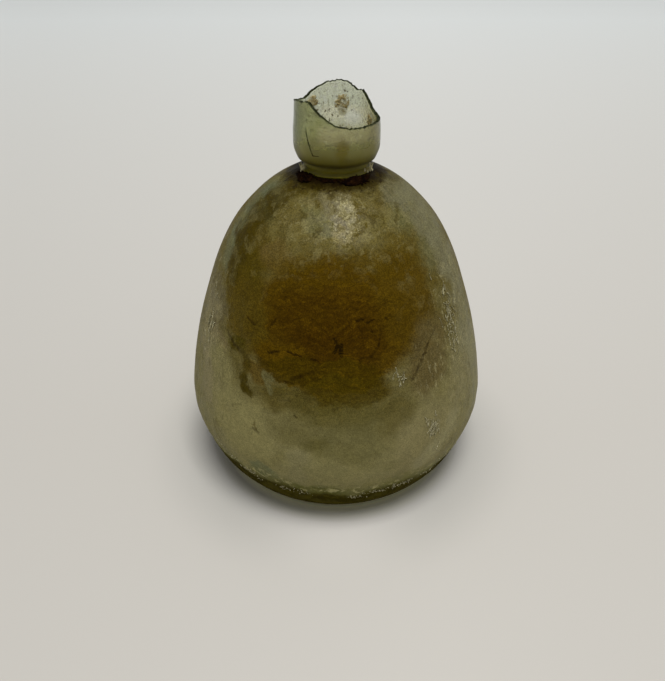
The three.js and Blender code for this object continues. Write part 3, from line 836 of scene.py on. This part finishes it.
# Its glass is clear and yellowish, pale at the back, greener and darker at both sides, with a milky band in front
# and brown dirt low down, and painted shade wherever the wall is seen edge on and in the crease above the collar
cup_glass, tree, shader, place = surface("cup_glass")
across, back, height = (part_of(place, axis) for axis in "XYZ")
grime = mottled(place, 300, 0.4, 0.75, (1, 1, 0.5))
band_foot, band_top, band_side = (0.1008, 0.1028), (0.1048, 0.1068), (-0.0060, -0.0030)
brown_top = 0.0955, 0.1035
crease_foot, crease_top = (0.0944, 0.0950), (0.0958, 0.0970)
torn_place = masked(ragged, place, Grain=500, Swing=0.003)
band = both(ramp(height, *band_foot), ramp(height, *band_top, 1.0, 0.0))
band = both(band, ramp(across, *band_side))
low_down = ramp(height, *brown_top, 1.0, 0.0)
crease = both(ramp(height, *crease_foot), ramp(height, *crease_top, 1.0, 0.0))
edge_on = put(tree, "ShaderNodeLayerWeight", {"Blend": 0.5}).outputs["Facing"]
colour = coated(layered(grime, (0.66, 0.69, 0.42, 1), (0.58, 0.60, 0.30, 1)), [
    (ramp(back, 0.0, 0.004, 0.0, 0.9), (0.78, 0.81, 0.64)),
    (faded(band, 0.8), (0.92, 0.90, 0.66)),
    (patch_on(torn_place, (4.6, 10, 102.4), (2.6, 5, 2.2), 0.5), (0.90, 0.92, 0.78)),
    (ramp(across, -0.0114, -0.0080, 0.85, 0.0), (0.19, 0.25, 0.07)),
    (ramp(across, 0.0050, 0.0112, 0.0, 0.8), (0.36, 0.32, 0.10)),
    (faded(patch_on(torn_place, (1.3, -10.8, 99.8), (1.5, 4, 3), 0.5), 0.8), (0.34, 0.27, 0.04)),
    (low_down, (0.42, 0.37, 0.02)),
    # Painted shade where the wall is seen edge on, and in the crease above the collar
    (ramp(edge_on, 0.32, 0.95, 0.0, 0.9), (0.12, 0.13, 0.025)),
    (faded(crease, 0.8), (0.13, 0.10, 0.001)),
])
rough = sum_of("ADD", ramp(grime, 0.0, 1.0, 0.12, 0.25), faded(low_down, 0.4))
give(shader, {
    "Base Color": colour, "Roughness": rough, "IOR": 1.45, "Specular Tint": (1, 0.95, 0.6, 1),
    "Transmission Weight": 0.85,
})
drawn_lines = noise_of(moved("MULTIPLY", place, (0.3, 0.3, 1.5)), 1100, Detail=3)
swell = sum_of("ADD", noise_of(place, 220), faded(drawn_lines, 0.35))
bumped(shader, swell, strength=0.4, distance=0.0003)


def dull(name, size, dark, pale, low=0.35, high=0.65, roughness=0.8, shine=0.1):
    """A dull material, grained in a dark colour and a pale one, with its shader and the place to paint by"""
    material, _, shader, place = surface(name)
    grain = mottled(place, size, low, high)
    colour = layered(grain, (*dark, 1), (*pale, 1))
    give(shader, {"Base Color": colour, "Roughness": roughness, "Specular IOR Level": shine})
    return material, shader, place


dark, pale = (0.010, 0.012, 0.003), (0.05, 0.055, 0.018)
broken_edge, _, _ = dull("broken_edge", 900, dark, pale, 0.4, 0.7, roughness=0.6, shine=0.05)
cup = shell("broken_cup", bm, cup_glass, broken_edge)
for face in cup.data.polygons:
    face.use_smooth = face.material_index == 0
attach(cup, "root")
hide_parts("neck_collar", "mouth_cup")


# Soil dried on the inside of the body's wall as thin brown films, and where the cup held dirt it left rings
# and spots. Each film is a sheet laid on a skin, torn at its edge, and thickened away from the glass.
clearance = 0.0001
body_inner_skin = lifted(body_skin, -body_wall)


def skin_place(line, height, along):
    """Where a skin is at a distance along it from a height: radius and height, and its way out"""
    i = min(range(len(line)), key=lambda i: abs(line[i].y - height))
    step = 1 if along > 0 else -1
    left = abs(along)
    while 0 <= i + step < len(line) and left > (line[i + step] - line[i]).length:
        left -= (line[i + step] - line[i]).length
        i += step
    j = min(max(i + step, 0), len(line) - 1)
    span = (line[j] - line[i]).length
    point = line[i].lerp(line[j], left / span if span else 0)
    way = (line[min(i + 1, len(line) - 1)] - line[max(i - 1, 0)]).normalized()
    return point, Vector((way.y, -way.x))


def set_on(line, turn, height, across, along, lift):
    """A place on a skin, across and along from a turn and a height, and lifted off it"""
    point, way = skin_place(line, height, along)
    start, _ = skin_place(line, height, 0)
    point = point + way * lift
    return round_axis(point.x, math.tau * turn + across / start.x, point.y)


def film(bm, line, turn, height, wide, high, thickness, cells, seed, torn=0.4, middle=0.0):
    """A torn sheet on a skin, thickened outwards, or inwards if the thickness is negative. Broad and fine
    noise tears its edge, and lumps of two sizes vary its thickness."""
    sheet = bmesh.new()
    rows = max(8, round(cells * high / wide))
    bmesh.ops.create_grid(sheet, x_segments=cells, y_segments=rows, size=1)
    shift = Vector((seed * 7.3, seed * 3.1, 0))
    out_of_sheet, laid = [], {}
    for vert in sheet.verts:
        swing = noise.fractal(vert.co * 1.3 + shift, 0.8, 2, 5) + 0.35 * noise.noise(vert.co * 9 + shift)
        far = vert.co.length * 1.12 + torn * swing
        if far > 0.95:
            out_of_sheet.append(vert)
        laid[vert] = max(0.0, 1 - far), vert.co.copy()
    bmesh.ops.delete(sheet, geom=out_of_sheet, context="VERTS")
    bmesh.ops.delete(sheet, geom=[vert for vert in sheet.verts if not vert.link_faces], context="VERTS")
    base = {vert: laid[vert] for vert in sheet.verts}
    made = bmesh.ops.extrude_face_region(sheet, geom=list(sheet.faces), use_keep_orig=True)
    tops = {key_of(item): item for item in made["geom"] if isinstance(item, bmesh.types.BMVert)}
    side = 1 if thickness > 0 else -1
    for vert, (inner, flat) in base.items():
        top = tops[key_of(vert)]
        lump = 0.55 + 0.7 * noise.noise(flat * 6 + shift) + 0.35 * noise.noise(flat * 17 + shift)
        rise = thickness * min(1.0, 0.08 + 2.2 * inner) * max(0.15, lump)
        spot = line, turn, height, flat.x * wide / 2, flat.y * high / 2 + middle
        vert.co = set_on(*spot, side * clearance)
        top.co = set_on(*spot, side * clearance + rise)
    outward(sheet)
    kept = bpy.data.meshes.new("sheet")
    sheet.to_mesh(kept)
    sheet.free()
    bm.from_mesh(kept)
    bpy.data.meshes.remove(kept)


def key_of(vert):
    """What a corner of a flat sheet and its copy above it have in common"""
    return round(vert.co.x, 6), round(vert.co.y, 6)


dark, pale = (0.10, 0.055, 0.008), (0.22, 0.15, 0.04)
dried_soil, shader, place = dull("dried_soil", 500, dark, pale, roughness=0.9)
bumped(shader, noise_of(place, 2500), strength=0.6, distance=0.0002)

soil_thickness = 0.0006
soil_cells = 90

# Each film: its turn round the axis, its height, the width and the height of the sheet, and its seed
films = {
    "soil_front": (-0.012, 0.0615, 0.047, 0.032, 3),
    "soil_shoulder": (-0.155, 0.0765, 0.016, 0.020, 5),
}
for name, (turn, level, wide, high, seed) in films.items():
    bm = bmesh.new()
    film(bm, body_inner_skin, turn, level, wide, high, -soil_thickness, soil_cells, seed)
    piece = shell(name + "_film", bm, dried_soil)
    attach(piece, "root")
    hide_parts(name)

# The cup still holds dirt: a golden ring with a hollow middle on its back wall, and brown spots at both sides.
inner_foot = cup_foot + cup_height * 0.03


def wall_at(height):
    """The thickness of the cup's wall at a height"""
    return between(cup_wall, rim_wall, (height - cup_foot) / cup_height)


cup_inner_skin = [
    Vector((radius_at(cup_skin, point.y) - wall_at(point.y), point.y)) for point in cup_skin if point.y > inner_foot
]

# A whitish haze lines the whole cup, streaked and specked, thicker at the back and brown low down
cup_haze, tree, shader, place = surface("cup_haze")
height = part_of(place, "Z")
frayed = masked(ragged, place, Grain=900, Swing=0.0012)
clouds = mottled(place, 330, 0.42, 0.62, (1, 1, 0.6))
streaks = mottled(frayed, 1900, 0.52, 0.64, (1, 1, 0.22))
flecks = mottled(frayed, 900, 0.52, 0.60)
specks = mottled(place, 1300, 0.57, 0.63)
dashes = mottled(place, 1000, 0.52, 0.60, (0.3, 0.3, 1.4))
mud = ramp(height, 0.0960, 0.1010, 1.0, 0.0)
pale_patch = patch_on(frayed, (4.6, 9.4, 102.4), (2.6, 5, 2.2), 0.3)
flecks = clamped(sum_of("ADD", flecks, faded(pale_patch, 0.8)))
back = ramp(part_of(frayed, "Y"), -0.001, 0.004)
dashes = both(dashes, rest_of(back))
flap = patch_on(frayed, (1.6, 10, 104), (1.2, 4, 0.9), 0.4)
colour = layered(clouds, (0.40, 0.40, 0.20, 1), (0.58, 0.58, 0.38, 1))
colour = layered(back, colour, layered(clouds, (0.76, 0.79, 0.60, 1), (0.90, 0.92, 0.80, 1)))
colour = coated(colour, [
    (flecks, (0.94, 0.94, 0.86)), (streaks, (0.34, 0.32, 0.17)), (mud, (0.18, 0.145, 0.004)),
    (dashes, (0.24, 0.21, 0.06)), (specks, (0.10, 0.06, 0.015)), (flap, (0.46, 0.42, 0.18)),
])
cover = ramp(clouds, 0.0, 1.0, 0.10, 0.30)
for mask, strength in (
    (streaks, 0.22), (flap, 0.4), (flecks, 0.25), (specks, 0.65), (back, 0.05), (dashes, 0.45), (mud, 0.35),
):
    cover = sum_of("ADD", cover, faded(mask, strength))
cover = both(clamped(cover), rest_of(faded(pale_patch, 0.5)))
give(shader, {"Base Color": colour, "Alpha": cover, "Roughness": 0.9, "Specular IOR Level": 0.05})

# The rings of golden dirt are laced with holes, and hollow in two places
dark, pale = (0.38, 0.27, 0.09), (0.74, 0.66, 0.38)
cup_dirt, shader, place = dull("cup_dirt", 800, dark, pale, roughness=0.85)
frayed = masked(ragged, place, Grain=700, Swing=0.0022)
lace = mottled(place, 900, 0.38, 0.48)
hollows = [((1.8, 10.1, 107), (0.9, 3, 0.8)), ((1.2, 10.1, 104.8), (1.4, 3, 0.7))]
for centre, reach in hollows:
    lace = both(lace, rest_of(faded(patch_on(frayed, centre, reach, 0.4), 0.75)))
give(shader, {"Alpha": lace})

spot_thickness = 0.0003
spot_cells = 40
haze_turns = 96
haze_levels = 16
haze_below_rim = 0.0004
haze_off_glass = 0.00006

# Each spot, as the films. The first carries the haze that lines the whole cup, as its second material.
spots = {
    "cup_residue_middle": (0.475, 0.1060, 0.0044, 0.0056, 11),
    "cup_residue_left": (0.612, 0.1074, 0.0050, 0.0034, 12),
    "cup_residue_right": (0.335, 0.1032, 0.0028, 0.0040, 13),
}
for name, (turn, level, wide, high, seed) in spots.items():
    bm = bmesh.new()
    film(bm, cup_inner_skin, turn, level, wide, high, -spot_thickness, spot_cells, seed)
    if name == "cup_residue_middle":
        spun(bm, [Vector((1, i / haze_levels)) for i in range(haze_levels + 1)], haze_turns, closed=False)
        for face in bm.faces[-haze_turns * haze_levels :]:
            face.material_index = 1
        for vert in {vert for face in bm.faces if face.material_index for vert in face.verts}:
            around = turn_of(vert.co)
            haze_level = between(cup_inner_skin[0].y, rim_at(around) - haze_below_rim, vert.co.z)
            reach = radius_at(cup_inner_skin, haze_level) - haze_off_glass
            vert.co = round_axis(reach, math.tau * around, haze_level)
        bmesh.ops.reverse_faces(bm, faces=[face for face in bm.faces if face.material_index])
    piece = shell(name + "_spot", bm, cup_dirt, cup_haze)
    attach(piece, "root")
    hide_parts(name)


# The neck was stuck back on long ago. A thin layer of adhesive lies under it, and what was squeezed out stands
# round it as dark reddish lumps, mostly in front and to the right. Grains are small uneven lumps of their own.
chance = random.Random(4)


def grain_at(bm, centre, size, finer=1, squash=0.7):
    """One lump, turned, squashed and dented at random"""
    turn = Matrix.Rotation(chance.uniform(0, math.pi), 4, Vector((chance.random(), chance.random(), 1)))
    made = bmesh.ops.create_icosphere(bm, subdivisions=finer, radius=1)
    shift = Vector((chance.uniform(0, 50), chance.uniform(0, 50), 0))
    scale = Vector((chance.uniform(0.8, 1.3), chance.uniform(0.7, 1.0), squash))
    for vert in made["verts"]:
        dent = 1 + 0.45 * noise.noise(vert.co * 1.3 + shift) + 0.2 * noise.noise(vert.co * 3.5 + shift)
        shape = Vector((vert.co.x * scale.x, vert.co.y * scale.y, vert.co.z * scale.z)) * dent
        vert.co = centre + (turn @ shape) * size


dark, pale = (0.003, 0.0009, 0.0003), (0.022, 0.008, 0.0015)
old_adhesive, shader, place = dull("old_adhesive", 700, dark, pale, 0.4, 0.7, shine=0.03)
bumped(shader, noise_of(place, 2000), strength=0.7, distance=0.0003)

seam_inset = 0.0003
seam = [
    Vector((bore_radius + seam_inset, body_height)),
    Vector((collar_radius - seam_inset, body_height)),
    Vector((collar_radius - seam_inset, collar_foot)),
    Vector((bore_radius + seam_inset, collar_foot)),
]
piece = shell("mend_layer", turned(seam, 96), old_adhesive)
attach(piece, "root")
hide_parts("mend_seam")


# The shoulder's skin and then the shelf, inwards to the collar
shelf_steps = 8
shelf_skin = body_skin + [
    Vector((between(root_radius, collar_radius, i / shelf_steps), body_height)) for i in range(1, shelf_steps + 1)
]

# Each run of lumps: its middle round the neck, how wide it is, how far it runs over shelf and shoulder, its
# thickness, its seed, and how far in it sits
lump_cells = 90
grains_in_lumps = 26
grain_sizes = 0.0001, 0.00038
lumps = {
    "residue_left": (-0.137, 0.0072, 0.0036, 0.0011, 31, -0.0007),
    "residue_middle": (-0.034, 0.0060, 0.0011, 0.0004, 37, -0.0003),
    "residue_right": (0.077, 0.0088, 0.0030, 0.0010, 33, -0.0007),
}
for name, (turn, wide, high, tall, seed, inward) in lumps.items():
    bm = bmesh.new()
    film(bm, shelf_skin, turn, body_height, wide, high, tall, lump_cells, seed, torn=0.55, middle=inward)
    for i in range(grains_in_lumps):
        across, along = chance.gauss(0, wide / 4), chance.gauss(0, high / 3.4)
        centre = set_on(shelf_skin, turn, body_height, across, along + inward, tall * chance.uniform(0.0, 0.5))
        grain_at(bm, centre, chance.uniform(*grain_sizes), finer=2)
    piece = shell(name + "_lumps", bm, old_adhesive)
    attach(piece, "root")
    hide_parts(name)

# Pale chips of the broken glass edge stand in the crease at both ends of the dark lumps
chipped_glass, _, _ = dull("chipped_glass", 900, (0.26, 0.22, 0.07), (0.80, 0.74, 0.46))
shards = 14
shard_foot = 0.00028
shard_tip = 0.00006
shard_lengths = 0.0014, 0.0034
shard_heights = 0.0007, 0.0014
shard_squash = Matrix.Diagonal((1.3, 0.45, 1, 1))
shard_ring = 0.0092, 0.0102
right_inset = 0.0004
chips = {"chip_left": -0.235, "chip_right": 0.215}
for name, middle in chips.items():
    bm = bmesh.new()
    for i in range(shards):
        turn = middle - chance.uniform(-0.01, 0.07) * math.copysign(1, middle)
        radius = between(*shard_ring, chance.random()) - (right_inset if middle > 0 else 0)
        angle = math.tau * turn
        shard = {"radius1": shard_foot, "radius2": shard_tip, "depth": chance.uniform(*shard_lengths)}
        made = bmesh.ops.create_cone(bm, cap_ends=True, segments=5, **shard)
        lean = Matrix.Rotation(chance.uniform(-0.6, 0.6), 4, Vector((chance.random(), chance.random(), 0)))
        stand = Matrix.Translation(round_axis(radius, angle, body_height + chance.uniform(*shard_heights)))
        across = Matrix.Rotation(angle + chance.uniform(-0.4, 0.4), 4, "Z")
        bmesh.ops.transform(bm, matrix=stand @ across @ lean @ shard_squash, verts=made["verts"])
    piece = shell(name + "_shards", bm, chipped_glass, smooth=False)
    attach(piece, "root")
    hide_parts(name)


# Lime settled on the foot and the flanks while the flask lay in the ground. It is a thin torn crust with
# crumbs on it, and on the flanks it curls off in flakes.
dark, pale = (0.22, 0.20, 0.10), (0.46, 0.42, 0.25)
lime, shader, place = dull("lime", 700, dark, pale, 0.3, 0.7, roughness=0.95)
give(shader, {"Alpha": mottled(place, 900, 0.54, 0.62, (1, 1, 0.25))})
dark, pale = (0.24, 0.22, 0.11), (0.55, 0.51, 0.33)
crumb, _, _ = dull("lime_crumb", 900, dark, pale, 0.3, 0.7, roughness=0.95)

# Each crust: the places that it runs through, each a turn and a height, how many crumbs it has, how far they
# stray and their largest size
crumb_lift = 0.00005
crusts = {
    "crust_front": ([(0.012, 0.0114), (0.046, 0.0121), (0.072, 0.0127), (0.085, 0.0129)], 150, 0.0006, 0.00030),
    "crust_front_left": ([(-0.062, 0.0128), (-0.044, 0.0140), (-0.028, 0.0122)], 60, 0.0008, 0.00028),
    "crust_left": ([(-0.085, 0.0136), (-0.098, 0.0143), (-0.119, 0.0178), (-0.142, 0.0214)], 130, 0.0006, 0.00028),
    "crust_right": ([(0.100, 0.0128), (0.126, 0.0142), (0.158, 0.0160)], 110, 0.0006, 0.00026),
}
for name, (run, count, stray, size) in crusts.items():
    bm = bmesh.new()
    for i in range(count):
        along = chance.random() * (len(run) - 1)
        (turn_a, level_a), (turn_b, level_b) = run[int(along)], run[min(int(along) + 1, len(run) - 1)]
        turn, level = between(turn_a, turn_b, along % 1), between(level_a, level_b, along % 1)
        centre = set_on(body_skin, turn, level, chance.gauss(0, stray), chance.gauss(0, stray), crumb_lift)
        grain_at(bm, centre, size * chance.uniform(0.25, 1.0) ** 1.5, squash=0.5)
    piece = shell(name + "_crumbs", bm, crumb)
    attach(piece, "root")
    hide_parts(name)

# Each flake: its turn, its height, the width and the height of its sheet, its seed, how many curls, and how
# they slant. A curl is a string of small grains that wanders up the sheet.
flake_thickness = 0.00022
flake_cells = 60
curl_step = 0.00016, 0.00024
curl_lift = 0.00012
curl_grains = 0.00007, 0.00017
flakes = {
    "flake_low": (0.101, 0.0321, 0.0045, 0.0080, 21, 26, 1.0),
    "flake_middle": (0.065, 0.0492, 0.0030, 0.0038, 22, 8, 0.8),
    "flake_high": (0.152, 0.0580, 0.0060, 0.0210, 23, 34, 1.6),
    "flake_left": (-0.176, 0.0540, 0.0050, 0.0140, 24, 14, 1.6),
}
for name, (turn, level, wide, high, seed, curls, slant) in flakes.items():
    bm = bmesh.new()
    film(bm, body_skin, turn, level, wide, high, flake_thickness, flake_cells, seed, torn=0.7)
    sheets = len(bm.faces)
    for i in range(curls):
        across, along = chance.gauss(0, wide / 3.2), chance.gauss(0, high / 3.2)
        heading = chance.gauss(slant, 0.35)
        for j in range(chance.randint(4, 14)):
            heading += chance.gauss(0, 0.25)
            across += curl_step[0] * math.cos(heading)
            along += curl_step[1] * math.sin(heading)
            centre = set_on(body_skin, turn, level, across, along, curl_lift)
            grain_at(bm, centre, chance.uniform(*curl_grains), squash=0.6)
    bm.faces.ensure_lookup_table()
    for face in bm.faces[sheets:]:
        face.material_index = 1
    piece = shell(name + "_flakes", bm, lime, crumb)
    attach(piece, "root")
    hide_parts(name)
